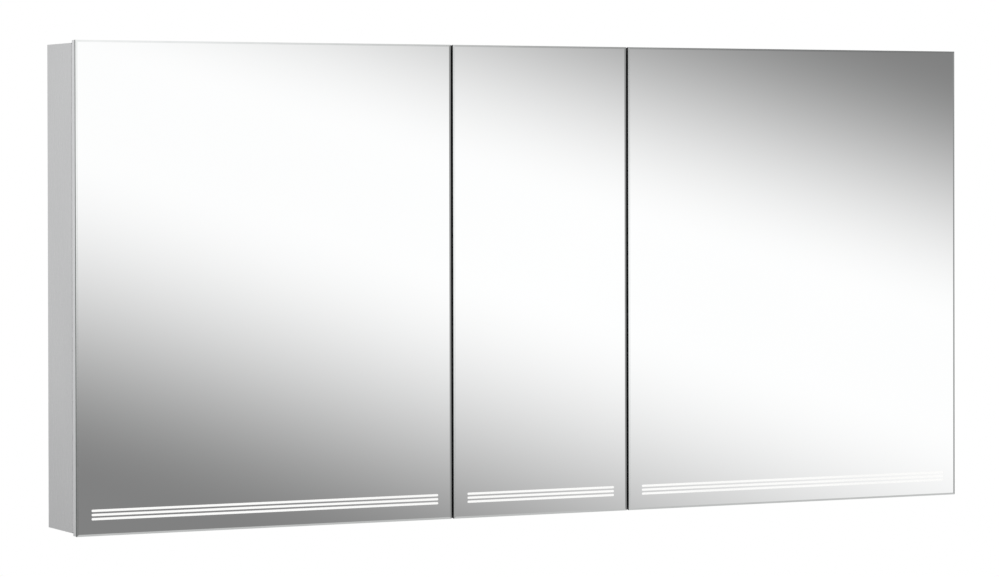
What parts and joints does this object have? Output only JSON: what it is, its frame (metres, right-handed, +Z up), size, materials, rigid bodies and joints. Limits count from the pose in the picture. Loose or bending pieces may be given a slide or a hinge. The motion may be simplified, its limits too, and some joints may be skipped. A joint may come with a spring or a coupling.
{
  "type": "mirrored medicine cabinet",
  "caption": "Slim wall-hung medicine cabinet with mirrored doors on concealed hinges, glass shelves and a light box behind clear stripes low in each mirror.",
  "frame": {"origin": "centre of the cabinet's back, on the wall plane", "axes": "+X along the width to the viewer's right, +Y into the wall, +Z up; the doors face -Y"},
  "size_m": [1.5, 0.12, 0.715],
  "materials": {
    "satin_aluminium": "satin anodised extrusion",
    "mirror": "polished silvered glass",
    "clear_glass": "clear float glass, ground edges",
    "zinc_steel": "zinc plated",
    "nickel": "nickel plated, satin",
    "white_board": "white laminated hardboard",
    "core_board": "paper honeycomb board between white faces",
    "opal": "opal acrylic, lit from behind",
    "white_plastic": "moulded, fine texture",
    "black_plastic": "moulded, fine texture",
    "circuit_board": "solder mask",
    "silicone": "soft clear pads"
  },
  "bodies": {
    "casing": {"casing_top": "satin_aluminium", "casing_bottom": "satin_aluminium", "casing_left": "satin_aluminium", "casing_right": "satin_aluminium", "left_partition": "satin_aluminium", "right_partition": "satin_aluminium", "corner_keys": "zinc_steel", "casing_screws": "zinc_steel", "back_board": "white_board", "back_brace": "satin_aluminium", "side_back_mirrors": "mirror", "middle_back_mirror": "mirror", "wall_rail": "zinc_steel", "hangers": "zinc_steel", "hanger_screws": "zinc_steel", "wall_tabs": "zinc_steel", "side_shelves": "clear_glass", "middle_shelves": "clear_glass", "shelf_pins": "nickel", "door_bumpers": "silicone", "light_covers": "satin_aluminium", "light_lenses": "opal", "led_carriers": "satin_aluminium", "led_boards": "circuit_board", "driver_case": "white_plastic", "driver_lid": "white_plastic", "driver_board": "circuit_board", "terminal_block": "white_plastic", "cable_gland": "black_plastic", "wiring": "black_plastic", "switch_housing": "nickel", "hinge_plates": "nickel", "hinge_plate_screws": "nickel", "hinge_arms": "nickel", "hinge_arm_pins": "zinc_steel"},
    "switch_button": {"switch_button": "white_plastic"},
    "left_door": {"left_door_mirror": "mirror", "left_door_frame": "satin_aluminium", "left_door_core": "core_board", "left_door_inner_mirror": "mirror", "left_door_light_box": "opal", "left_hinge_cups": "nickel"},
    "left_cranks": {"left_hinge_cranks": "nickel"},
    "left_links": {"left_hinge_links": "nickel"},
    "middle_door": {"middle_door_mirror": "mirror", "middle_door_frame": "satin_aluminium", "middle_door_core": "core_board", "middle_door_inner_mirror": "mirror", "middle_door_light_box": "opal", "middle_hinge_cups": "nickel"},
    "middle_cranks": {"middle_hinge_cranks": "nickel"},
    "middle_links": {"middle_hinge_links": "nickel"},
    "right_door": {"right_door_mirror": "mirror", "right_door_frame": "satin_aluminium", "right_door_core": "core_board", "right_door_inner_mirror": "mirror", "right_door_light_box": "opal", "right_hinge_cups": "nickel"},
    "right_cranks": {"right_hinge_cranks": "nickel"},
    "right_links": {"right_hinge_links": "nickel"}
  },
  "joints": [
    {"name": "left_door_swing", "type": "hinge", "parent": "casing", "child": "left_door", "pos_m": [-0.747, -0.115, 0], "axis": [0, 0, -1], "range_deg": [0, 100]},
    {"name": "left_crank_turn", "type": "hinge", "parent": "casing", "child": "left_cranks", "pos_m": [-0.73, -0.096, 0], "axis": [0, 0, -1], "range_deg": [0, 100]},
    {"name": "left_link_turn", "type": "hinge", "parent": "left_cranks", "child": "left_links", "pos_m": [-0.707, -0.09, 0], "axis": [0, 0, -1], "range_deg": [-100, 0]},
    {"name": "middle_door_swing", "type": "hinge", "parent": "casing", "child": "middle_door", "pos_m": [-0.145, -0.115, 0], "axis": [0, 0, -1], "range_deg": [0, 100]},
    {"name": "middle_crank_turn", "type": "hinge", "parent": "casing", "child": "middle_cranks", "pos_m": [-0.128, -0.096, 0], "axis": [0, 0, -1], "range_deg": [0, 100]},
    {"name": "middle_link_turn", "type": "hinge", "parent": "middle_cranks", "child": "middle_links", "pos_m": [-0.105, -0.09, 0], "axis": [0, 0, -1], "range_deg": [-100, 0]},
    {"name": "right_door_swing", "type": "hinge", "parent": "casing", "child": "right_door", "pos_m": [0.747, -0.115, 0], "axis": [0, 0, 1], "range_deg": [0, 100]},
    {"name": "right_crank_turn", "type": "hinge", "parent": "casing", "child": "right_cranks", "pos_m": [0.73, -0.096, 0], "axis": [0, 0, 1], "range_deg": [0, 100]},
    {"name": "right_link_turn", "type": "hinge", "parent": "right_cranks", "child": "right_links", "pos_m": [0.707, -0.09, 0], "axis": [0, 0, 1], "range_deg": [-100, 0]},
    {"name": "button_press", "type": "slide", "parent": "casing", "child": "switch_button", "axis": [0, 0, 1], "range_m": [0, 0.0015], "stiffness_N_per_m": 600}
  ],
  "couplings": [
    {"joint": "left_crank_turn", "follows": "left_door_swing", "ratio": 1},
    {"joint": "left_link_turn", "follows": "left_door_swing", "ratio": -1},
    {"joint": "middle_crank_turn", "follows": "middle_door_swing", "ratio": 1},
    {"joint": "middle_link_turn", "follows": "middle_door_swing", "ratio": -1},
    {"joint": "right_crank_turn", "follows": "right_door_swing", "ratio": 1},
    {"joint": "right_link_turn", "follows": "right_door_swing", "ratio": -1}
  ]
}
